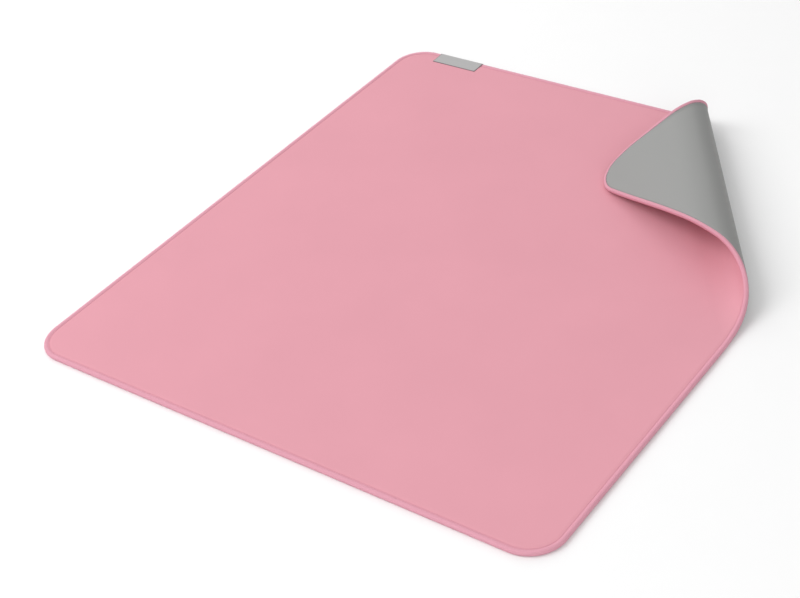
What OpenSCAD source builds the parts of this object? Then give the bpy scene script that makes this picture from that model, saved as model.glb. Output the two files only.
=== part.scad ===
// Desk mat with an overlocked edge and one corner curled over, in millimetres.
// The mat lies on z = 0 with its centre at the origin: X runs along the front edge, Y towards the
// labelled back edge. Every layer is laid out flat and then carried round the curl by curl().

/* [Mat] */
// Width, along the front edge
mat_w = 400; // [300:5:500]
// Depth, from the front edge to the labelled edge
mat_d = 450; // [350:5:600]
// Radius of the corners, at the outside of the stitching
corner_r = 24; // [15:1:40]

/* [Layers] */
// Thickness of the rubber grip base
base_t = 0.6; // [0.4:0.1:1.2]
// Thickness of the foam core
core_t = 2.1; // [1.5:0.1:3]
// Thickness of the surface cloth
cloth_t = 0.5; // [0.3:0.1:0.8]

/* [Edge stitching] */
// Width of the sewn rim on top, from the edge to the needle line
rim_w = 4; // [3:0.1:6]
// Width of the sewn rim on the underside
rim_under_w = 2.2; // [1.5:0.1:4]
// Thickness of the covering of looper thread
thread_t = 0.5; // [0.3:0.05:0.7]
// Radius of the rim's rounded edge
rim_r = 1.1; // [0.8:0.1:1.3]
// Thickness of the needle thread
needle_t = 0.5; // [0.3:0.05:0.7]

/* [Label] */
// Length of the label, along the back edge
label_l = 40; // [20:1:80]
// Depth of the label on top, from the back edge
label_d = 13.5; // [10:0.5:30]
// Distance from the mat's left edge to the label
label_from = 29; // [26:1:120]
// Thickness of the label
label_t = 0.4; // [0.3:0.1:0.8]

/* [Curled corner] */
// Direction in which the curled corner points when flat, from the X axis
curl_dir = 33.6; // [30:0.1:45]
// Distance from the square corner to the line where the mat lifts off the desk
curl_from = 131.7; // [125:0.1:145]
// Turn of the entry bend
entry_turn = 17; // [12:1:20]
// Length of the entry bend, on the underside
entry_l = 10; // [8:1:14]
// Turn of the main bend
main_turn = 161.5; // [140:0.5:163]
// Length of the main bend, on the underside
main_l = 43; // [42:1:50]
// Turn of the exit bend
exit_turn = 19; // [5:1:20]
// Length of the exit bend, on the underside
exit_l = 16; // [10:1:18]
// Narrowing of the curl towards the back edge, in percent over 100 mm
curl_taper = 2.2; // [0:0.1:3]
// Droop of the flap along the right edge, at the tip
tip_droop = 6.5; // [0:0.5:8]
// Width of the drooping strip, in from the right edge
droop_w = 47; // [30:1:80]

/* [Hidden] */

pink = [0.906, 0.655, 0.702];
thread_pink = [0.894, 0.639, 0.690];
grey = [0.647, 0.655, 0.640];
pale_grey = [0.725, 0.722, 0.722];

play = 0.05;                                    // gap between a layer's cut edge and the stitching
core_z = base_t;                                // underside of the core
cloth_z = base_t + core_t;                      // underside of the cloth
field_z = cloth_z + cloth_t;                    // top of the mat inside the rim
rim_z = field_z + thread_t;                     // top of the rim
seam_z = rim_z / 2;                             // height where the two loopers interlock on the edge
foot_z = 0.1;                                   // the lower looper sits just above the desk
layer_in = thread_t + play;                     // inset of the cut layers
bend_step = 2.5;                                // spacing of the facets round the curl
flap_step = 8;                                  // spacing of the facets along the flap
columns = 5;                                    // facets along a ruling of the curl
arc_step = 10;                                  // angle of the facets round a corner
lap = 4;                                        // flat lead-in of a layer's curled part

// Bends of the underside, as [length, turn], followed by the straight flap
runs = [[entry_l, entry_turn], [main_l, main_turn], [exit_l, exit_turn], [curl_from, 0]];
curl_l = entry_l + main_l + exit_l;
droop_l = 57;                                   // length of flap over which the droop grows
across = [cos(curl_dir), sin(curl_dir)];        // runs across the curl, towards the corner
along = [-sin(curl_dir), cos(curl_dir)];        // runs along the curl
lift = [mat_w / 2, mat_d / 2] - across * curl_from;   // point on the lift-off line
corner_c = [mat_w / 2 - corner_r, mat_d / 2 - corner_r];   // centre of the curled corner's arc
corner_s = (corner_c - lift) * across;
corner_t = (corner_c - lift) * along;

// Place and slope [x, z, turn] of the underside at a length s past the lift-off line
function roll(s, i = 0, x = 0, z = 0, turn = 0) =
    s <= 0 && i == 0 ? [s, 0, 0] :
    let (l = min(s, runs[i][0]), k = runs[i][1] / runs[i][0], end = turn + k * l,
         r = k == 0 ? 0 : 180 / (PI * k),
         px = x + (k == 0 ? l * cos(turn) : r * (sin(end) - sin(turn))),
         pz = z + (k == 0 ? l * sin(turn) : r * (cos(turn) - cos(end))))
    s <= runs[i][0] ? [px, pz, end] : roll(s - runs[i][0], i + 1, px, pz, end);

function ease(v) = let (c = min(max(v, 0), 1)) c * c * (3 - 2 * c);

// How far a point p of the flat mat hangs below the plain roll
function droop(p) = tip_droop * ease(((p - lift) * across - curl_l) / droop_l)
                    * ease(1 - (mat_w / 2 - p[0]) / droop_w);

// Where a point p of the flat mat, at height w over the underside, lies on the curled mat
function curl(p, w) =
    let (t = (p - lift) * along, size = 1 - curl_taper / 10000 * t, q = roll((p - lift) * across / size),
         xy = lift + across * (size * q[0] - w * sin(q[2])) + along * t)
    [xy[0], xy[1], size * q[1] + w * cos(q[2]) - droop(p)];

// Ends of the ruling at length s, on an outline drawn in by an inset
function ruling_low(s, inset) =
    let (t = ((lift + across * s)[0] - mat_w / 2 + inset) / sin(curl_dir), p = lift + across * s + along * t)
    p[1] > corner_c[1] ? corner_t - sqrt(pow(corner_r - inset, 2) - pow(s - corner_s, 2)) : t;
function ruling_high(s, inset) =
    let (t = (mat_d / 2 - inset - (lift + across * s)[1]) / cos(curl_dir), p = lift + across * s + along * t)
    p[0] > corner_c[0] ? corner_t + sqrt(pow(corner_r - inset, 2) - pow(s - corner_s, 2)) : t;

// Lengths at which the curl is drawn, up to where the corner's arc begins, and a layer on to its tip
curl_s = concat([for (i = [0 : curl_l / bend_step]) i * bend_step],
                [for (s = [curl_l + flap_step / 2 : flap_step : corner_s + flap_step]) s]);
function layer_stations(inset) =
    let (r = corner_r - inset, first = max(90 - curl_dir, curl_dir), second = 90 - first)
    concat([-lap], curl_s,
           [for (a = [first : -(first - second) / 3 : second + 1]) corner_s + r * cos(a)],
           [for (a = [second : -second / 5 : 3]) corner_s + r * cos(a)], [corner_s + r * cos(2.5)]);

// Triangles that join a ring of n points to the next, for m rings
function skin(m, n, closed) = [for (i = [0 : m - (closed ? 1 : 2)]) for (j = [0 : n - 1])
    let (a = i * n + j, b = i * n + (j + 1) % n, c = (i + 1) % m * n + (j + 1) % n, d = (i + 1) % m * n + j)
    each [[a, b, c], [a, c, d]]];

module outline(inset) {
    w = mat_w - 2 * inset;
    d = mat_d - 2 * inset;
    r = corner_r - inset;
    union() {
        square([w - 2 * r, d], center = true);
        square([w, d - 2 * r], center = true);
        for (x = [-1, 1], y = [-1, 1]) translate([x * (w / 2 - r), y * (d / 2 - r)]) circle(r, $fn = 96);
    }
}

module flat_side() {
    reach = mat_w + mat_d;
    translate(lift - across * lap / 2) rotate(curl_dir) translate([-reach, -reach / 2]) square([reach, reach]);
}

// One layer of the laminate between heights w0 and w1: a flat plate and its curled corner in one piece
module layer(w0, w1, inset) {
    stations = layer_stations(inset);
    n = 2 * (columns + 1);
    points = [for (s = stations) let (lo = ruling_low(s, inset), hi = ruling_high(s, inset),
                  row = [for (j = [0 : columns]) lift + across * s + along * (lo + (hi - lo) * j / columns)])
              each concat([for (p = row) curl(p, w1)], [for (j = [columns : -1 : 0]) curl(row[j], w0)])];
    last = len(points) - n;
    union() {
        translate([0, 0, w0]) linear_extrude(w1 - w0) intersection() {
            outline(inset);
            flat_side();
        }
        polyhedron(points, concat(
            [for (j = [0 : columns - 1]) each [[n - 1 - j, n - 2 - j, j + 1], [n - 1 - j, j + 1, j]]],
            skin(len(stations), n, false),
            [for (j = [0 : columns - 1]) each [[last + j, last + j + 1, last + n - 2 - j],
                                               [last + j, last + n - 2 - j, last + n - 1 - j]]]), convexity = 6);
    }
}

// Stations round the edge, anticlockwise from the right side: [edge point, inward direction]
function edge_arc(cx, cy, from) = [for (a = [from : arc_step : from + 90])
    [[cx * (mat_w / 2 - corner_r) + corner_r * cos(a), cy * (mat_d / 2 - corner_r) + corner_r * sin(a)],
     [-cos(a), -sin(a)]]];
edge = concat(
    [for (s = curl_s) [[mat_w / 2, lift[1] + (s - (mat_w / 2 - lift[0]) * across[0]) / across[1]], [-1, 0]]],
    edge_arc(1, 1, 0),
    [for (i = [len(curl_s) - 1 : -1 : 0])
        [[lift[0] + (curl_s[i] - (mat_d / 2 - lift[1]) * across[1]) / across[0], mat_d / 2], [0, -1]]],
    edge_arc(-1, 1, 90), edge_arc(-1, -1, 180), edge_arc(1, -1, 270));

// A profile of [distance in from the edge, height] carried all the way round the edge
module edge_run(profile) {
    n = len(profile);
    polyhedron([for (e = edge) for (q = profile) curl(e[0] + e[1] * q[0], q[1])],
               skin(len(edge), n, true), convexity = 10);
}

function round_edge(z, r, from, to) = [for (i = [0 : 4]) let (a = from + (to - from) * i / 4)
    [rim_r + r * cos(a), z + r * sin(a)]];

module grip_base() color(grey) layer(0, base_t, rim_under_w + play);

module foam_core() color("dimgray") layer(core_z, cloth_z, layer_in);

module surface_cloth() color(pink) layer(cloth_z, field_z, layer_in);

module lower_looper_thread() color(thread_pink)
    edge_run(concat([[thread_t, seam_z], [thread_t, base_t], [rim_under_w, base_t], [rim_under_w, foot_z]],
                    round_edge(foot_z + rim_r, rim_r, 270, 180), [[0, seam_z]]));

module upper_looper_thread() color(thread_pink)
    edge_run(concat([[0, seam_z]], round_edge(rim_z - rim_r, rim_r, 180, 90),
                    [[rim_w - 0.6, rim_z], [rim_w, rim_z - 0.6 * thread_t], [rim_w, field_z],
                     [thread_t, field_z], [thread_t, seam_z]]));

module needle_thread() color(thread_pink)
    edge_run([for (a = [30 : 60 : 330]) [rim_w + play + needle_t / 2 - needle_t / 2 * cos(a),
                                         field_z + 0.02 + needle_t / 2 + needle_t / 2 * sin(a)]]);

module label() {
    inner = concat([[label_d, field_z + 0.02], [rim_w + 1.4, field_z + 0.02], [rim_w + 0.6, rim_z + play]],
                   round_edge(rim_z - rim_r, rim_r + play, 90, 180), [[-play, 1]]);
    outer = concat([[-play - label_t, 1]], round_edge(rim_z - rim_r, rim_r + play + label_t, 180, 90),
                   [[rim_w + 0.7, rim_z + play + label_t], [rim_w + 1.6, field_z + 0.02 + label_t],
                    [label_d, field_z + 0.02 + label_t]]);
    color(pale_grey) translate([label_from - mat_w / 2, mat_d / 2, 0]) rotate([90, 0, 90])
        linear_extrude(label_l) polygon([for (q = concat(inner, outer)) [-q[0], q[1]]]);
}

grip_base();
foam_core();
surface_cloth();
lower_looper_thread();
upper_looper_thread();
needle_thread();
label();
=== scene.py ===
"""Desk mat of cloth on foam rubber, with an overlocked edge and one corner curled over.

Layers and threads are laid out flat, as [x, y, height over the underside] in metres, and then
carried round the curl. The label lies on the part that stays flat.
"""

from math import cos, pi, radians, sin

import bpy
import numpy as np
from bpy.props import FloatProperty, FloatVectorProperty, IntProperty, PointerProperty
from mathutils import Matrix, Vector


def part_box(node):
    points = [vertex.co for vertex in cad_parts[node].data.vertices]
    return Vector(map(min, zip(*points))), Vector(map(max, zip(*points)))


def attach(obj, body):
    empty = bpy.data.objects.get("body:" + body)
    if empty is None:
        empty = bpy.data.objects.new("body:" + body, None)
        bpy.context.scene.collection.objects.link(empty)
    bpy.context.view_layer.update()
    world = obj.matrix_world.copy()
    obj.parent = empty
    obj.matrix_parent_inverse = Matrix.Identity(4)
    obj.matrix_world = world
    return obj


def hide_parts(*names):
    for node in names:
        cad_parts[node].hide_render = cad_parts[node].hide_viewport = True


bl_info = {
    "name": "Desk mat",
    "version": (1, 0, 0),
    "blender": (4, 5, 0),
    "location": "View3D > Sidebar > Desk mat",
    "description": "Builds a desk mat with an overlocked edge, a blank label and a curled corner",
    "category": "Add Mesh",
}

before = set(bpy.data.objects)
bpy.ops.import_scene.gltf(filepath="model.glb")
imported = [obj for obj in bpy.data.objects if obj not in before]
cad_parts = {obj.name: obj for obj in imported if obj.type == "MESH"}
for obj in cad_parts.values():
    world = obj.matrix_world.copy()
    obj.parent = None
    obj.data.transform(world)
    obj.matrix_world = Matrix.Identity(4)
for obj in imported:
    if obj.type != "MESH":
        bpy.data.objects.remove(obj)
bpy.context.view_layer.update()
RIM_LOW, RIM_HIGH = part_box("lower_looper_thread")
LABEL_LOW, LABEL_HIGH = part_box("label")

MM = 0.001
FLAT_MAP = "flat"
SHARP_ANGLE = radians(50)

# Bead of the seam: powers of its superellipses above and below its middle
SLOPE_POWER = 2.3
WALL_POWER = 3.6

# Lip on the roll: its start, the way it grows over, its end and the way it fades over, all as
# shares of the length of the bends
LIP_START = 0.3
LIP_GROWTH = 0.35
LIP_END = 1.5
LIP_FADE = 0.75

# Grid of a layer: width of the border strip, its lines and the power by which they crowd towards
# the cut, and where the fine part starts, as shares of the width and depth from the middle
BORDER = 22 * MM
BORDER_LINES = 27
BORDER_POWER = 1.6
FINE_FROM_X = 0.1
FINE_FROM_Y = -0.04

# Spacing of the core's grid, compared with that of the cloth and the base
CORE_SPACING = 1.5

# Gaps: thread to layers, base to seam, label to cloth and label to bead
THREAD_GAP = 0.03 * MM
BASE_GAP = 0.05 * MM
LABEL_CLOTH_GAP = 0.02 * MM
LABEL_BEAD_GAP = 0.05 * MM

# Looper stitches: angles on the bead where a stitch starts and turns, points in a leg and offset
# in pitches, then the places of the two legs and their slant, in pitches
UPPER_LOOPER = (radians(33), radians(188), 6, 0.0)
LOWER_LOOPER = (radians(268), radians(172), 5, 0.5)
LEG_PLACES = (-0.25, 0.25)
LEG_SLANT = 0.3

# Sides of a thread's section
THREAD_SIDES = 6

# Needle stitches: points in one, its shift across the line, the depth of its feet in the cloth, the
# rise of its arch and the power of the arch
NEEDLE_POINTS = 7
NEEDLE_SHIFT = 0.16 * MM
NEEDLE_SINK = 0.14 * MM
NEEDLE_ARCH = 0.22 * MM
ARCH_POWER = 0.6

# Label: columns along it, angles in degrees on the bead that it follows, distance from the groove to
# where it leaves the cloth, place of one more point on its flat part, as a share of the way from the
# edge to its front, and width of its soft edges
LABEL_COLUMNS = 61
LABEL_TURNS = (80, 100, 120, 140, 160)
LABEL_RISE = 1.6 * MM
LABEL_FLAT = 0.75
LABEL_SOFTNESS = 0.12 * MM


def length(name, description, default):
    """A property that holds a length in metres."""
    return FloatProperty(
        name=name, description=description, default=default, precision=5, unit="LENGTH"
    )


def angle(name, description, degrees):
    """A property that holds an angle, given in degrees."""
    return FloatProperty(
        name=name, description=description, default=radians(degrees), unit="ROTATION"
    )


def watts(name, description, default):
    """A property that holds the power of a light."""
    return FloatProperty(name=name, description=description, default=default, unit="POWER")


def number(name, description, default):
    """A property that holds a plain number."""
    return FloatProperty(name=name, description=description, default=default)


def point(name, description, default):
    """A property that holds a place in metres."""
    return FloatVectorProperty(name=name, description=description, default=default, subtype="XYZ")


def colour(name, description, red, green, blue):
    """A property that holds a linear colour."""
    return FloatVectorProperty(
        name=name,
        description=description,
        default=(red, green, blue),
        size=3,
        min=0,
        max=1,
        subtype="COLOR",
    )


class MatSizes(bpy.types.PropertyGroup):
    """Outline and layers of the mat."""

    width: length("Width", "Size along the front edge", RIM_HIGH.x - RIM_LOW.x)
    depth: length("Depth", "Size from the front edge to the labelled edge", RIM_HIGH.y - RIM_LOW.y)
    corner: length("Corner radius", "Radius of the corners, outside the stitching", 24 * MM)
    base: length("Grip base", "Thickness of the rubber grip base", 0.6 * MM)
    core: length("Foam core", "Thickness of the foam core", 2.1 * MM)
    cloth: length("Cloth", "Thickness of the surface cloth", 0.5 * MM)
    coarse: length("Coarse grid", "Spacing of the grid where the mat lies flat", 5 * MM)
    fine: length("Fine grid", "Spacing of the grid where the mat curls", 1.6 * MM)

    def field(self):
        """Height of the mat's top inside the rim."""
        return self.base + self.core + self.cloth


class CurlSizes(bpy.types.PropertyGroup):
    """Shape of the curled corner."""

    heading: angle("Direction", "Where the corner points when flat, from the X axis", 33.6)
    lift_off: length("Lift-off", "From the square corner to where the mat lifts", 131.7 * MM)
    entry: length("Entry bend", "Length of the entry bend on the underside", 10 * MM)
    entry_turn: angle("Entry turn", "Turn of the entry bend", 17)
    main: length("Main bend", "Length of the main bend on the underside", 43 * MM)
    main_turn: angle("Main turn", "Turn of the main bend", 161.5)
    exit: length("Exit bend", "Length of the exit bend on the underside", 16 * MM)
    exit_turn: angle("Exit turn", "Turn of the exit bend", 19)
    taper: number("Taper", "Narrowing towards the back edge per metre", 0.22)
    droop: length("Droop", "Droop of the flap along the right edge, at the tip", 6.5 * MM)
    droop_width: length("Droop width", "Drooping strip, in from the right edge", 47 * MM)
    droop_length: length("Droop length", "Length of flap over which the droop grows", 57 * MM)
    lip: length("Lip", "Flare of the back edge on the roll, outwards", 2.4 * MM)
    lip_width: length("Lip width", "Flaring strip, in from the back edge", 5.5 * MM)

    def bends(self):
        """Length and turn of each bend, from the lift-off line on."""
        entry = (self.entry, self.entry_turn)
        return entry, (self.main, self.main_turn), (self.exit, self.exit_turn)


class SeamSizes(bpy.types.PropertyGroup):
    """The three-thread overlock seam round the edge."""

    pitch: length("Stitch pitch", "Length of one stitch along the edge", 1.25 * MM)
    thread: length("Thread thickness", "Thickness of the looper thread on the mat", 0.44 * MM)
    spread: length("Thread width", "Width of the looper thread on the mat", 0.82 * MM)
    wander: number("Wander", "Largest shift of a stitch along the edge, in pitches", 0.03)
    fuzz: length("Unevenness", "Usual difference in the stitches' height", 0.02 * MM)
    crown: length("Crown", "Distance of the bead's crown from the edge", 1.45 * MM)
    foot: length("Inner foot", "Distance from the crown to the bead's inner foot", 2.1 * MM)
    rise: length("Bead rise", "Thread's middle at the crown, over the bead's middle", 1.5 * MM)
    drop: length("Bead drop", "Thread's middle at the bottom, below the bead's middle", 1.43 * MM)
    middle: length("Bead middle", "Height over the underside of the bead's middle", 1.75 * MM)
    needle_line: length("Needle line", "Distance of the needle stitches from the edge", 3.5 * MM)
    needle: length("Needle thread", "Diameter of the needle thread", 0.42 * MM)
    groove: length("Groove", "Depth to which the needle draws the cloth down", 0.3 * MM)
    groove_at: length("Groove line", "Distance of the groove from the edge", 3.7 * MM)
    groove_width: length("Groove width", "Half width of the groove", 0.8 * MM)
    under: length("Underside rim", "Width of the seam on the underside", 2.2 * MM)
    crease: length("Crease", "Depth of the crease beside the seam on the underside", 0.3 * MM)
    crease_width: length("Crease width", "Width of the crease on the underside", 0.35 * MM)
    inset: length("Cut inset", "Distance of the cut layers from the edge", 0.55 * MM)


class LabelSizes(bpy.types.PropertyGroup):
    """The blank label folded over the back edge."""

    thickness: length("Thickness", "Thickness of the label", 0.4 * MM)
    left: length("Left end", "Place of the left end along X", LABEL_LOW.x)
    right: length("Right end", "Place of the right end along X", LABEL_HIGH.x)
    front: length("Front edge", "Place of the front edge along Y", LABEL_LOW.y)
    hem: length("Hem", "Height of the label's lower end behind the edge", LABEL_LOW.z)


class MatColours(bpy.types.PropertyGroup):
    """Linear colours of the materials."""

    cloth: colour("Cloth", "Surface cloth", 0.726, 0.336, 0.395)
    thread: colour("Thread", "Looper and needle thread", 0.715, 0.336, 0.417)
    grip: colour("Grip", "Rubber grip base", 0.263, 0.265, 0.258)
    foam: colour("Foam", "Foam core", 0.060, 0.060, 0.062)
    label: colour("Label", "Woven label", 0.41, 0.405, 0.405)
    floor: colour("Floor", "Floor under the mat", 0.93, 0.93, 0.93)


class StageSetup(bpy.types.PropertyGroup):
    """Camera, lights and floor."""

    camera_at: point("Camera", "Place of the camera", (0.5661, -0.7655, 0.6752))
    camera_to: point("Aim", "Point that the camera looks at", (-0.0357, -0.0751, 0))
    tilt: angle("Tilt", "Turn of the camera about its own axis", -8.02)
    lens: number("Lens", "Focal length in millimetres", 76.45)
    shift: FloatVectorProperty(
        name="Shift", description="Shift of the lens", default=(0.0509, 0.0009), size=2
    )
    near: length("Near limit", "Nearest distance that the camera shows", 0.01)
    sky: number("Sky", "Strength of the light from all round", 0.48)
    key: watts("Key", "Power of the front left light", 30)
    fill: watts("Fill", "Power of the front right light", 16.5)
    back: watts("Back", "Power of the back left light", 18)
    key_heading: angle("Key heading", "Direction of the front left light, from the X axis", 218)
    fill_heading: angle("Fill heading", "Direction of the front right light, from the X axis", 311)
    back_heading: angle("Back heading", "Direction of the back left light, from the X axis", 140)
    key_height: angle("Key height", "Angle of the front left light over the floor", 47)
    height: angle("Height", "Angle of the other lights over the floor", 32)
    distance: length("Distance", "Distance of the lights from the mat's middle", 2.4)
    spread: length("Light size", "Side of each square light", 1.7)
    floor: length("Floor", "Half the side of the square floor", 6.0)


class DeskMatSettings(bpy.types.PropertyGroup):
    """All the settings of the mat."""

    mat: PointerProperty(type=MatSizes)
    curl: PointerProperty(type=CurlSizes)
    seam: PointerProperty(type=SeamSizes)
    label: PointerProperty(type=LabelSizes)
    colours: PointerProperty(type=MatColours)
    stage: PointerProperty(type=StageSetup)
    seed: IntProperty(name="Seed", description="Seed of the stitches' differences", default=7)


def settings():
    """The mat's settings in this scene."""
    return bpy.context.scene.desk_mat


# Shape of the mat


def ease(share):
    """Smooth step from 0 to 1: 3 c^2 - 2 c^3 of the share held between 0 and 1."""
    held = np.clip(share, 0, 1)
    return held * held * (3 - 2 * held)


def roll(run, curl):
    """How far across, how high and how far turned the underside is, past the lift-off line.

    Each bend turns at a steady rate k. From turn a to turn b it moves (sin b - sin a) / k across
    and (cos a - cos b) / k up. Before the first bend and after the last the underside is straight.
    """
    across = np.minimum(run, 0)
    up = np.zeros_like(across)
    turn = np.zeros_like(across)
    past = 0.0
    for bend, bend_turn in curl.bends():
        rate = bend_turn / bend
        end = turn + rate * np.clip(run - past, 0, bend)
        across = across + (np.sin(end) - np.sin(turn)) / rate
        up = up + (np.cos(turn) - np.cos(end)) / rate
        turn = end
        past += bend
    flap = np.maximum(run - past, 0)
    return across + flap * np.cos(turn), up + flap * np.sin(turn), turn


def curl_up(flat):
    """Carries points [x, y, height] of the flat mat round the curl.

    A point lies s past the lift-off line and t along it. The roll is scaled by 1 - taper * t, the
    height is measured square to the turned underside, and the flap hangs lower by the droop
    towards its right edge. The back edge flares outwards on the roll, by the square of the way
    into the lip.
    """
    mat, curl = settings().mat, settings().curl
    onward = np.array([cos(curl.heading), sin(curl.heading)])
    along = np.array([-onward[1], onward[0]])
    lift = np.array([mat.width, mat.depth]) / 2 - onward * curl.lift_off
    s = (flat[..., :2] - lift) @ onward
    t = (flat[..., :2] - lift) @ along
    bent = sum(bend for bend, _ in curl.bends())
    lip = np.clip(1 - (mat.depth / 2 - flat[..., 1]) / curl.lip_width, 0, 1) ** 2
    lip = lip * ease((s - LIP_START * bent) / (LIP_GROWTH * bent))
    lip = lip * ease((LIP_END * bent - s) / (LIP_FADE * bent))
    height = flat[..., 2] - curl.lip * lip
    scale = 1 - curl.taper * t
    across, up, turn = roll(s / scale, curl)
    out = scale * across - height * np.sin(turn)
    droop = curl.droop * ease((s - bent) / curl.droop_length)
    droop = droop * ease(1 - (mat.width / 2 - flat[..., 0]) / curl.droop_width)
    place = lift + out[..., None] * onward + t[..., None] * along
    return np.concatenate([place, (scale * up + height * np.cos(turn) - droop)[..., None]], -1)


def from_edge(x, y):
    """Distance in from the mat's edge: the corner radius less the way out of the inner rectangle."""
    mat = settings().mat
    past_x = np.abs(x) - mat.width / 2 + mat.corner
    past_y = np.abs(y) - mat.depth / 2 + mat.corner
    outside = np.hypot(np.maximum(past_x, 0), np.maximum(past_y, 0))
    return mat.corner - outside - np.minimum(np.maximum(past_x, past_y), 0)


def superellipse(share, power):
    """Height of a unit superellipse at a share x of its half width: (1 - x^n)^(1/n)."""
    return (1 - np.clip(share, 0, 1) ** power) ** (1 / power)


def pressed(height, inward):
    """Height of a layer where the seam presses it: under the thread, and in the needle's groove.

    The top of the mat follows a bell-shaped groove and, outside it, stays under the bead's crown
    and outer slope. Each layer keeps its share of the way up to it, and near the cut the lower
    thread holds them up. Beside that thread the underside is drawn up in a crease, half a bell in
    section.
    """
    seam, field = settings().seam, settings().mat.field()
    inside = seam.thread / 2 + THREAD_GAP
    groove = seam.groove * np.exp(-(((inward - seam.groove_at) / seam.groove_width) ** 2))
    slope = superellipse((seam.crown - inward) / (seam.crown - seam.thread / 2), SLOPE_POWER)
    held = np.where(inward < seam.groove_at, seam.middle + seam.rise * slope - inside, field)
    top = np.minimum(field - groove, held)
    lower = superellipse((seam.under - inward) / (seam.under - seam.thread / 2), WALL_POWER)
    crease = seam.crease * np.exp(-(((inward - seam.under) / seam.crease_width) ** 2))
    bottom = np.where(inward < seam.under, seam.middle - seam.drop * lower + inside, crease)
    return np.maximum(height * top / field, bottom)


def bead(turn):
    """Middle of the thread on the seam's bead, [distance in, height], and the outward normal there.

    Each quarter of the bead is a superellipse |x/a|^n + |y/b|^n = 1, so x = a c^(2/n) and
    y = b s^(2/n) with the signs of the cosine c and sine s, and the normal is
    [c^(2 - 2/n) / a, s^(2 - 2/n) / b]. The quarters on top are round, those below are squarer.
    """
    seam = settings().seam
    c, s = np.cos(turn), np.sin(turn)
    above, outer = s > 0, c < 0
    middle_in = np.where(above, seam.crown, seam.under)
    reach = np.where(outer, middle_in - seam.thread / 2, seam.foot)
    half = np.where(above, seam.rise, seam.drop)
    power = 2 / np.where(above, SLOPE_POWER, WALL_POWER)
    out_x, out_y = np.sign(c) * np.abs(c) ** power, np.sign(s) * np.abs(s) ** power
    place = np.stack([middle_in + reach * out_x, seam.middle + half * out_y], -1)
    lean_x, lean_y = np.sign(c) * np.abs(c) ** (2 - power), np.sign(s) * np.abs(s) ** (2 - power)
    normal = np.stack([lean_x / reach, lean_y / half], -1)
    return place, normal / np.linalg.norm(normal, axis=-1, keepdims=True)


def edge_length():
    """Length of the mat's edge: four sides and four quarter arcs."""
    mat = settings().mat
    return 2 * (mat.width + mat.depth) + (2 * pi - 8) * mat.corner


def edge_at(run):
    """Point and inward direction on the mat's edge at lengths anticlockwise from the right side.

    A point is a corner radius outside the inner rectangle, whose corners the route visits in turn:
    it moves along a side with the direction held, and round a corner with the direction turning.
    """
    mat = settings().mat
    a, b = mat.width / 2 - mat.corner, mat.depth / 2 - mat.corner
    corners = np.array([[a, -b], [a, b], [-a, b], [-a, -b]])
    spans = np.array([2 * b, pi / 2 * mat.corner, 2 * a, pi / 2 * mat.corner] * 2)
    starts = np.cumsum(spans) - spans
    run = run % spans.sum()
    span = np.searchsorted(starts, run, side="right") - 1
    share = (run - starts[span]) / spans[span]
    side, curved = span // 2, span % 2 == 1
    turn = (side + np.where(curved, share, 0)) * pi / 2
    outward = np.stack([np.cos(turn), np.sin(turn)], -1)
    step = corners[(side + 1) % 4] - corners[side]
    place = corners[side] + np.where(curved, 1, share)[..., None] * step + mat.corner * outward
    return place, -outward


# Meshes from arrays


def grid_faces(rows, columns, round_rows=False, round_columns=False):
    """Quads of a grid of points, and each corner's row and column, counted on past a joined end."""
    row, column = np.meshgrid(
        np.arange(rows - (not round_rows)), np.arange(columns - (not round_columns)), indexing="ij"
    )
    corners = np.stack(
        [
            np.stack([row, column], -1),
            np.stack([row + 1, column], -1),
            np.stack([row + 1, column + 1], -1),
            np.stack([row, column + 1], -1),
        ],
        -2,
    ).reshape(-1, 4, 2)
    return corners[..., 0] % rows * columns + corners[..., 1] % columns, corners


def shell_faces(rows, columns):
    """Quads of a closed shell of two like grids, the upper first, with a wall along their border."""
    index = np.arange(rows * columns).reshape(rows, columns)
    upper, _ = grid_faces(rows, columns)
    border = np.concatenate([index[:-1, 0], index[-1, :-1], index[:0:-1, -1], index[0, :0:-1]])
    onward = np.roll(border, -1)
    below = index.size
    wall = np.stack([border + below, onward + below, onward, border], -1)
    return np.concatenate([upper, upper[:, ::-1] + below, wall])


def add_piece(name, points, faces, corner_map, finish, slot):
    """A piece from points, quads and the map place of each quad's corner, on the mat's body."""
    mesh = bpy.data.meshes.new(name)
    mesh.vertices.add(len(points))
    mesh.vertices.foreach_set("co", points.astype(np.float32).ravel())
    mesh.loops.add(faces.size)
    mesh.loops.foreach_set("vertex_index", faces.astype(np.int32).ravel())
    mesh.polygons.add(len(faces))
    mesh.polygons.foreach_set("loop_start", np.arange(0, faces.size, 4, dtype=np.int32))
    mesh.polygons.foreach_set("use_smooth", np.ones(len(faces), bool))
    layer = mesh.uv_layers.new(name=FLAT_MAP)
    layer.uv.foreach_set("vector", corner_map.astype(np.float32).ravel())
    mesh.update(calc_edges=True)
    mesh.set_sharp_from_angle(angle=SHARP_ANGLE)
    mesh.materials.append(finish)
    piece = bpy.data.objects.new(name, mesh)
    bpy.context.scene.collection.objects.link(piece)
    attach(piece, "root")
    return piece


# Layers of the laminate


def stops(half, fine_from, coarse, fine):
    """Grid places from -half to half: crowded at both borders, coarse up to a place, then fine."""
    border = BORDER * np.linspace(0, 1, BORDER_LINES) ** BORDER_POWER
    first, last = -half + border, half - border[::-1]
    flat = np.linspace(first[-1], fine_from, round((fine_from - first[-1]) / coarse) + 1)
    bent = np.linspace(fine_from, last[0], round((last[0] - fine_from) / fine) + 1)
    return np.concatenate([first, flat[1:], bent[1:], last[1:]])


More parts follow.
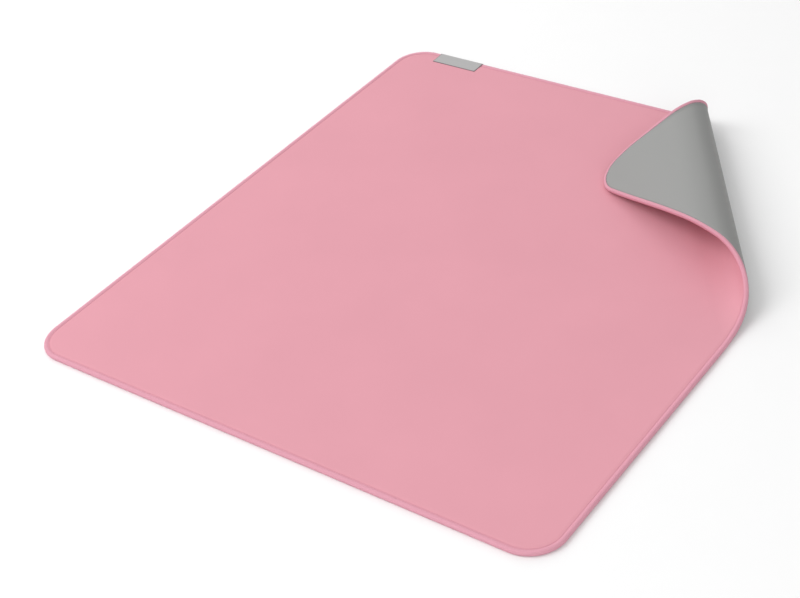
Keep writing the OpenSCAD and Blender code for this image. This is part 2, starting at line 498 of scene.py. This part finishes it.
def layer_mesh(inset, low, high, spacing=1.0):
    """Points, quads and flat map of one sheet of the laminate, between two heights.

    Rows run at fixed y. A row's half width is that of the rounded rectangle there,
    hw - r + sqrt(r^2 - e^2) with e the way into the corner, and its points are the same shares of
    it, so columns bend in at the corners.
    """
    mat = settings().mat
    half_w, half_d, corner = mat.width / 2 - inset, mat.depth / 2 - inset, mat.corner - inset
    x = stops(half_w, FINE_FROM_X * mat.width, mat.coarse * spacing, mat.fine * spacing)
    y = stops(half_d, FINE_FROM_Y * mat.depth, mat.coarse * spacing, mat.fine * spacing)
    into = np.maximum(np.abs(y) - half_d + corner, 0)
    row_half = half_w - corner + np.sqrt(np.maximum(corner**2 - into**2, 0))
    place = np.stack([x[:, None] * row_half / half_w, np.broadcast_to(y, (len(x), len(y)))], -1)
    inward = from_edge(place[..., 0], place[..., 1])
    upper = np.concatenate([place, pressed(high, inward)[..., None]], -1).reshape(-1, 3)
    lower = np.concatenate([place, pressed(low, inward)[..., None]], -1).reshape(-1, 3)
    flat = np.concatenate([upper, lower])
    faces = shell_faces(len(x), len(y))
    return curl_up(flat), faces, flat[faces][..., :2]


# Threads of the seam


def tube(centre, normal, width, thickness):
    """A closed thread along a closed route: rings of centre + out * cos * t/2 + side * sin * w/2.

    The side direction is square to the route and to the surface's normal, and the out direction is
    square to both the route and the side.
    """
    along = np.roll(centre, -1, 0) - np.roll(centre, 1, 0)
    across = np.cross(normal, along)
    across /= np.linalg.norm(across, axis=1, keepdims=True)
    out = np.cross(along, across)
    out /= np.linalg.norm(out, axis=1, keepdims=True)
    turn = 2 * pi * np.arange(THREAD_SIDES) / THREAD_SIDES
    rings = out[:, None] * (np.cos(turn) * thickness / 2)[:, None]
    rings = rings + across[:, None] * (np.sin(turn) * width / 2)[:, None] + centre[:, None]
    faces, spots = grid_faces(len(centre), THREAD_SIDES, True, True)
    steps = np.linalg.norm(np.roll(centre, -1, 0) - centre, axis=1)
    run = np.concatenate([[0], np.cumsum(steps)])
    corner_map = np.stack([run[spots[..., 0]], spots[..., 1] / THREAD_SIDES], -1)
    return curl_up(rings.reshape(-1, 3)), faces, corner_map


def stitch_count():
    """Whole number of stitches that go round the edge."""
    return round(edge_length() / settings().seam.pitch)


def looper_route(inner, outer, points, offset):
    """Route of a looper thread and the normals along it, as a run of loops round the edge.

    Each stitch goes out over the bead from one angle to another, turns, and comes back half a
    pitch further on. The legs slant a little, and small seeded differences keep the stitches from
    being all alike.
    """
    seam, count = settings().seam, stitch_count()
    way = np.linspace(0, 1, points)
    way = np.concatenate([way, way[::-1]])
    leg = np.repeat(LEG_PLACES, points)
    chance = np.random.default_rng(settings().seed + points)
    stitch = np.arange(count)[:, None] + seam.wander * chance.uniform(-1, 1, (count, 1))
    run = (stitch + offset + leg + LEG_SLANT * (way - 0.5)) * edge_length() / count
    place, normal = bead(inner + (outer - inner) * way)
    place = place + normal * seam.fuzz * chance.standard_normal((count, 1, 1))
    return on_edge(run, place[..., 0], place[..., 1], normal)


def on_edge(run, inward, height, normal):
    """Points and normals [x, y, height] at places along the edge, in from it and over the underside."""
    place, into = edge_at(run)
    shape = run.shape
    inward, height = np.broadcast_to(inward, shape), np.broadcast_to(height, shape)
    normal = np.broadcast_to(normal, (*shape, 2))
    points = np.concatenate([place + inward[..., None] * into, height[..., None]], -1)
    normals = np.concatenate([normal[..., :1] * into, normal[..., 1:]], -1)
    return points.reshape(-1, 3), normals.reshape(-1, 3)


def needle_route():
    """Route of the needle thread: one low arch per stitch, with its feet sunk in the groove."""
    seam, count = settings().seam, stitch_count()
    share = np.arange(NEEDLE_POINTS) / NEEDLE_POINTS
    run = (np.arange(count)[:, None] + share) * edge_length() / count
    inward = seam.needle_line + NEEDLE_SHIFT * (share - 0.5)
    cloth_top = pressed(settings().mat.field(), inward)
    height = cloth_top - NEEDLE_SINK + NEEDLE_ARCH * np.sin(pi * share) ** ARCH_POWER
    return on_edge(run, inward, height, np.array([0.0, 1.0]))


# Label


def rounded(line, passes=3):
    """A line with its corners cut to a quarter and three quarters of each stretch, a few times."""
    for _ in range(passes):
        before, after = line[:-1], line[1:]
        cut = np.stack([0.75 * before + 0.25 * after, 0.25 * before + 0.75 * after], 1)
        line = np.concatenate([line[:1], cut.reshape(-1, 2)[1:-1], line[-1:]])
    return line


def label_route():
    """Middle line of the label, [distance in, height]: on the cloth, over the bead and down behind."""
    mat, seam, label = settings().mat, settings().seam, settings().label
    half = label.thickness / 2
    lying = mat.field() + LABEL_CLOTH_GAP + half
    front = mat.depth / 2 - label.front
    behind = -LABEL_BEAD_GAP - half
    place, normal = bead(np.radians(LABEL_TURNS))
    over = place + (seam.thread / 2 + LABEL_BEAD_GAP + half) * normal
    flat = [[front, lying], [LABEL_FLAT * front, lying], [seam.groove_at + LABEL_RISE, lying]]
    down = [[behind, seam.middle], [behind, label.hem]]
    return rounded(np.concatenate([flat, over, down]))


def label_mesh():
    """Points, quads and map of the label, and the length of its middle line.

    The middle line is set off by half the thickness both ways and carried along X.
    """
    mat, label = settings().mat, settings().label
    line = label_route()
    step = np.gradient(line, axis=0)
    normal = np.stack([step[:, 1], -step[:, 0]], -1)
    normal /= np.linalg.norm(normal, axis=1, keepdims=True)
    x = np.linspace(label.left, label.right, LABEL_COLUMNS)
    run = np.concatenate([[0], np.cumsum(np.linalg.norm(np.diff(line, axis=0), axis=1))])
    sides = []
    for sign in (1, -1):
        inward, height = (line + sign * label.thickness / 2 * normal).T
        ends = np.broadcast_arrays(x[:, None], mat.depth / 2 - inward[None], height[None])
        sides.append(np.stack(ends, -1).reshape(-1, 3))
    spread = np.stack(np.broadcast_arrays(x[:, None], run[None]), -1).reshape(-1, 2)
    faces = shell_faces(len(x), len(line))
    return np.concatenate(sides), faces, np.concatenate([spread, spread])[faces], run[-1]


# Materials


class Value:
    """A shader socket. Arithmetic on it adds Math nodes."""

    def __init__(self, finish, socket):
        self.finish = finish
        self.socket = socket

    def maths(self, operation, *values):
        """A Math node on some values."""
        return self.finish.node("ShaderNodeMath", {"operation": operation}, dict(enumerate(values)))

    def __add__(self, other):
        return self.maths("ADD", self, other)

    __radd__ = __add__

    def __sub__(self, other):
        return self.maths("SUBTRACT", self, other)

    def __rsub__(self, other):
        return self.maths("SUBTRACT", other, self)

    def __mul__(self, other):
        return self.maths("MULTIPLY", self, other)

    __rmul__ = __mul__

    def wave(self):
        """Sine of the value."""
        return self.maths("SINE", self)

    def smaller(self, other):
        """The smaller of two values."""
        return self.maths("MINIMUM", self, other)


class Finish:
    """A material under construction. One method adds any node."""

    def __init__(self, name):
        self.material = bpy.data.materials.new(name)
        self.material.use_nodes = True
        self.tree = self.material.node_tree
        self.tree.nodes.clear()

    def node(self, kind, options=None, sockets=None, output=0):
        """Adds a node, sets its options first, then its sockets' values or links.

        Gives one of its outputs, or nothing for a node without any.
        """
        made = self.tree.nodes.new(kind)
        for name, value in (options or {}).items():
            setattr(made, name, value)
        for name, value in (sockets or {}).items():
            if isinstance(value, Value):
                self.tree.links.new(value.socket, made.inputs[name])
            else:
                made.inputs[name].default_value = value
        return Value(self, made.outputs[output]) if len(made.outputs) else None

    def flat_place(self):
        """The piece's own map: metres on the flat sheet, or along a thread and the share round it."""
        return self.node("ShaderNodeUVMap", {"uv_map": FLAT_MAP})

    def object_place(self):
        """The place in the piece's own space, in metres."""
        return self.node("ShaderNodeTexCoord", output="Object")

    def parts(self, vector):
        """X and Y of a vector."""
        x = self.node("ShaderNodeSeparateXYZ", None, {0: vector})
        return x, Value(self, x.socket.node.outputs[1])

    def noise(self, place, scale, detail=2.0):
        """Soft noise, with features of about 1 / scale metres."""
        sockets = {"Vector": place, "Scale": scale, "Detail": detail}
        return self.node("ShaderNodeTexNoise", None, sockets)

    def mix(self, share, first, second):
        """Colour between two, by a share."""
        return self.node("ShaderNodeMix", {"data_type": "RGBA"}, {0: share, 6: first, 7: second}, 2)

    def bump(self, height, strength, distance):
        """A normal leant by a height."""
        sockets = {"Strength": strength, "Distance": distance, "Height": height}
        return self.node("ShaderNodeBump", None, sockets)

    def close(self, **sockets):
        """Adds the surface shader and the output, and gives the material."""
        named = {name.replace("_", " "): value for name, value in sockets.items()}
        shader = self.node("ShaderNodeBsdfPrincipled", None, named)
        self.node("ShaderNodeOutputMaterial", None, {"Surface": shader})
        return self.material


def tint(base, factor):
    """A colour scaled by a factor, with full alpha."""
    return (*[min(1.0, channel * factor) for channel in base], 1.0)


def cloth_finish():
    """Fine matte weave: crossing waves of warp and weft, with loose fibres and a faint mottle."""
    finish, base = Finish("pink_cloth"), settings().colours.cloth
    yarn = 0.42 * MM
    place = finish.flat_place()
    x, y = finish.parts(place)
    rate = pi / yarn
    weave = (x * rate).wave() * (y * rate).wave()
    fibre = finish.noise(place, scale=2600.0, detail=3.0)
    mottle = finish.noise(place, scale=14.0)
    share = 0.5 + 0.22 * weave + 0.5 * (fibre - 0.5) + 0.5 * (mottle - 0.5)
    return finish.close(
        Base_Color=finish.mix(share, tint(base, 0.93), tint(base, 1.07)),
        Roughness=0.92,
        Specular_IOR_Level=0.15,
        Sheen_Weight=0.12,
        Sheen_Roughness=0.45,
        Sheen_Tint=tint(base, 1.15),
        Normal=finish.bump(0.6 * weave + fibre, strength=0.35, distance=0.12 * MM),
    )


def thread_finish(name, shade):
    """Twisted polyester thread: the plies show as waves that run slantwise along it, in the bump and as
    painted shade in the colour.
    """
    finish, base = Finish(name), settings().colours.thread
    twist = 0.9 * MM
    place = finish.flat_place()
    run, around = finish.parts(place)
    ply = (run * (2 * pi / twist) + around * (4 * pi)).wave()
    lint = finish.noise(place, scale=900.0)
    # Painted shade: the colour is darker in the grooves between the plies, in step with the bump
    share = 0.5 + 0.25 * ply + 0.6 * (lint - 0.5)
    return finish.close(
        # Painted shade: a factor below 1 darkens the whole thread
        Base_Color=finish.mix(share, tint(base, 0.92 * shade), tint(base, 1.08 * shade)),
        Roughness=0.62,
        Specular_IOR_Level=0.25,
        Sheen_Weight=0.12,
        Sheen_Roughness=0.4,
        Sheen_Tint=tint(base, 1.2),
        Normal=finish.bump(ply, strength=0.4, distance=0.05 * MM),
    )


def grip_finish():
    """Semi-matte rubber: a fine pebbled skin with faint cloudiness."""
    finish, base = Finish("grey_grip_rubber"), settings().colours.grip
    place = finish.flat_place()
    pebble = finish.noise(place, scale=1500.0, detail=1.0)
    cloud = finish.noise(place, scale=22.0)
    share = 0.5 + 0.5 * (pebble - 0.5) + 0.7 * (cloud - 0.5)
    return finish.close(
        Base_Color=finish.mix(share, tint(base, 0.94), tint(base, 1.06)),
        Roughness=0.48 + 0.15 * cloud,
        Specular_IOR_Level=0.55,
        Normal=finish.bump(pebble, strength=0.3, distance=0.1 * MM),
    )


def foam_finish():
    """Dark foam rubber: small open cells."""
    finish, base = Finish("dark_foam"), settings().colours.foam
    place = finish.object_place()
    sockets = {"Vector": place, "Scale": 2200.0}
    cells = finish.node("ShaderNodeTexVoronoi", None, sockets, "Distance")
    return finish.close(
        Base_Color=finish.mix(cells, tint(base, 0.7), tint(base, 1.4)),
        Roughness=0.95,
        Specular_IOR_Level=0.2,
        Normal=finish.bump(cells, strength=0.6, distance=0.2 * MM),
    )


def label_finish():
    """Tight woven ribbon: fine ribs along it, crossed by the warp, with painted shade darkening its
    ends and front edge.
    """
    finish, base, sizes = Finish("grey_woven_label"), settings().colours.label, settings().label
    rib_pitch, warp_pitch, edge_shade_width = 0.55 * MM, 0.4 * MM, 0.7 * MM
    place = finish.flat_place()
    x, y = finish.parts(place)
    ribs = (y * (2 * pi / rib_pitch)).wave()
    warp = (x * (2 * pi / warp_pitch)).wave()
    weave = 0.7 * ribs + 0.3 * ribs * warp
    fibre = finish.noise(place, scale=2000.0)
    share = 0.5 + 0.25 * weave + 0.5 * (fibre - 0.5)
    # Painted shade: a band along both ends and the front edge is darkened towards 0.35 of the label's
    # colour, as the shade that its edges throw
    to_side = (x - sizes.left).smaller(sizes.right - x).smaller(y)
    cut = 1 - (to_side * (1 / edge_shade_width)).smaller(1.0)
    woven = finish.mix(share, tint(base, 0.93), tint(base, 1.07))
    return finish.close(
        Base_Color=finish.mix(cut, woven, tint(base, 0.35)),
        Roughness=0.7,
        Specular_IOR_Level=0.3,
        Sheen_Weight=0.1,
        Normal=finish.bump(weave, strength=0.35, distance=0.06 * MM),
    )


def floor_finish():
    """Pale matte floor with a barely visible grain."""
    finish, base = Finish("pale_floor"), settings().colours.floor
    grain = finish.noise(finish.object_place(), scale=40.0)
    shade = finish.mix(grain, tint(base, 0.995), tint(base, 1.005))
    return finish.close(Base_Color=shade, Roughness=0.9)


# Operators


class DESKMAT_OT_grip_base(bpy.types.Operator):
    """Adds the rubber grip base, inside the seam on the underside"""

    bl_idname = "desk_mat.grip_base"
    bl_label = "Grip base"

    def execute(self, context):
        mat, seam = settings().mat, settings().seam
        inset = seam.under + BASE_GAP
        shape = layer_mesh(inset, 0.0, mat.base)
        base = add_piece("grip_base_sheet", *shape, grip_finish(), "grip_rubber")
        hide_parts("grip_base")
        return {"FINISHED"}


class DESKMAT_OT_foam_core(bpy.types.Operator):
    """Adds the foam core between the base and the cloth"""

    bl_idname = "desk_mat.foam_core"
    bl_label = "Foam core"

    def execute(self, context):
        mat, seam = settings().mat, settings().seam
        shape = layer_mesh(seam.inset, mat.base, mat.base + mat.core, CORE_SPACING)
        core = add_piece("foam_core_pad", *shape, foam_finish(), "foam")
        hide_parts("foam_core")
        return {"FINISHED"}


class DESKMAT_OT_seam(bpy.types.Operator):
    """Adds the two looper threads and the needle thread of the overlocked edge"""

    bl_idname = "desk_mat.seam"
    bl_label = "Overlock seam"

    def execute(self, context):
        seam = settings().seam
        upper = tube(*looper_route(*UPPER_LOOPER), seam.spread, seam.thread)
        lower = tube(*looper_route(*LOWER_LOOPER), seam.spread, seam.thread)
        needle = tube(*needle_route(), seam.needle, seam.needle)
        # Painted shade: the lower looper and the needle thread are drawn darker by their factor, as the
        # shade under the bead and in the groove
        for name, shape, shade in (
            ("upper_looper", upper, 1.0),
            ("lower_looper", lower, 0.95),
            ("needle", needle, 0.94),
        ):
            finish = thread_finish(f"pink_{name}_thread", shade)
            thread = add_piece(f"{name}_stitches", *shape, finish, "thread")
            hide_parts(f"{name}_thread")
        return {"FINISHED"}


class DESKMAT_OT_surface_cloth(bpy.types.Operator):
    """Adds the surface cloth, with the groove that the needle draws in it"""

    bl_idname = "desk_mat.surface_cloth"
    bl_label = "Surface cloth"

    def execute(self, context):
        mat, seam = settings().mat, settings().seam
        shape = layer_mesh(seam.inset, mat.base + mat.core, mat.field())
        cloth = add_piece("surface_cloth_sheet", *shape, cloth_finish(), "cloth")
        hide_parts("surface_cloth")
        return {"FINISHED"}


class DESKMAT_OT_label(bpy.types.Operator):
    """Adds the blank woven label, folded over the back edge"""

    bl_idname = "desk_mat.label"
    bl_label = "Label"

    def execute(self, context):
        *shape, run = label_mesh()
        label = add_piece("woven_label", *shape, label_finish(), "label")
        soften = label.modifiers.new("soft edges", "BEVEL")
        soften.width = LABEL_SOFTNESS
        soften.segments = 2
        soften.limit_method = "ANGLE"
        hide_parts("label")
        return {"FINISHED"}


def area_light(name, heading, height, power):
    """A large square light at angles round the mat and over the floor, turned to the mat's middle."""
    stage = settings().stage
    lamp = bpy.data.lights.new(name, "AREA")
    lamp.size = stage.spread
    lamp.energy = power
    towards = Vector((cos(heading) * cos(height), sin(heading) * cos(height), sin(height)))
    light = bpy.data.objects.new(name, lamp)
    light.location = stage.distance * towards
    light.rotation_euler = (-towards).to_track_quat("-Z", "Y").to_euler()
    bpy.context.scene.collection.objects.link(light)


class DESKMAT_OT_stage(bpy.types.Operator):
    """Adds the pale floor, the soft studio light and the camera"""

    bl_idname = "desk_mat.stage"
    bl_label = "Stage"

    def execute(self, context):
        stage, scene = settings().stage, context.scene
        half = stage.floor
        corners = [(-half, -half, 0), (half, -half, 0), (half, half, 0), (-half, half, 0)]
        mesh = bpy.data.meshes.new("floor")
        mesh.from_pydata(corners, [], [(0, 1, 2, 3)])
        mesh.materials.append(floor_finish())
        floor = bpy.data.objects.new("floor", mesh)
        scene.collection.objects.link(floor)
        world = bpy.data.worlds.new("studio")
        world.use_nodes = True
        sky = world.node_tree.nodes["Background"]
        sky.inputs["Color"].default_value = (1, 1, 1, 1)
        sky.inputs["Strength"].default_value = stage.sky
        scene.world = world
        area_light("key", stage.key_heading, stage.key_height, stage.key)
        area_light("fill", stage.fill_heading, stage.height, stage.fill)
        area_light("back", stage.back_heading, stage.height, stage.back)
        lens = bpy.data.cameras.new("camera")
        lens.lens = stage.lens
        lens.shift_x, lens.shift_y = stage.shift
        lens.clip_start = stage.near
        camera = bpy.data.objects.new("camera", lens)
        look = Vector(stage.camera_to) - Vector(stage.camera_at)
        aim = look.to_track_quat("-Z", "Y").to_matrix().to_4x4()
        turn = aim @ Matrix.Rotation(stage.tilt, 4, "Z")
        camera.matrix_world = Matrix.Translation(stage.camera_at) @ turn
        scene.collection.objects.link(camera)
        scene.camera = camera
        scene.view_settings.view_transform = "Standard"
        return {"FINISHED"}


class DESKMAT_PT_pieces(bpy.types.Panel):
    """Lists the mat's pieces and its settings"""

    bl_idname = "DESKMAT_PT_pieces"
    bl_label = "Desk mat"
    bl_space_type = "VIEW_3D"
    bl_region_type = "UI"
    bl_category = "Desk mat"

    def draw(self, context):
        for operator in OPERATORS:
            self.layout.operator(operator.bl_idname)
        every = context.scene.desk_mat
        for group in (every.mat, every.curl, every.seam, every.label, every.colours, every.stage):
            box = self.layout.box()
            for name in group.__annotations__:
                box.prop(group, name)


GROUPS = (MatSizes, CurlSizes, SeamSizes, LabelSizes, MatColours, StageSetup, DeskMatSettings)
OPERATORS = (
    DESKMAT_OT_grip_base,
    DESKMAT_OT_foam_core,
    DESKMAT_OT_seam,
    DESKMAT_OT_surface_cloth,
    DESKMAT_OT_label,
    DESKMAT_OT_stage,
)
CLASSES = (*GROUPS, *OPERATORS, DESKMAT_PT_pieces)


def register():
    """Registers the classes and gives the scene its settings."""
    for kind in CLASSES:
        bpy.utils.register_class(kind)
    bpy.types.Scene.desk_mat = PointerProperty(type=DeskMatSettings)


def unregister():
    """Takes the settings and the classes away again."""
    del bpy.types.Scene.desk_mat
    for kind in reversed(CLASSES):
        bpy.utils.unregister_class(kind)


def main():
    """Registers the add-on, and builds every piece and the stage."""
    register()
    bpy.ops.desk_mat.grip_base()
    bpy.ops.desk_mat.foam_core()
    bpy.ops.desk_mat.seam()
    bpy.ops.desk_mat.surface_cloth()
    bpy.ops.desk_mat.label()
    bpy.ops.desk_mat.stage()
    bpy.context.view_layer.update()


if __name__ == "__main__":
    main()
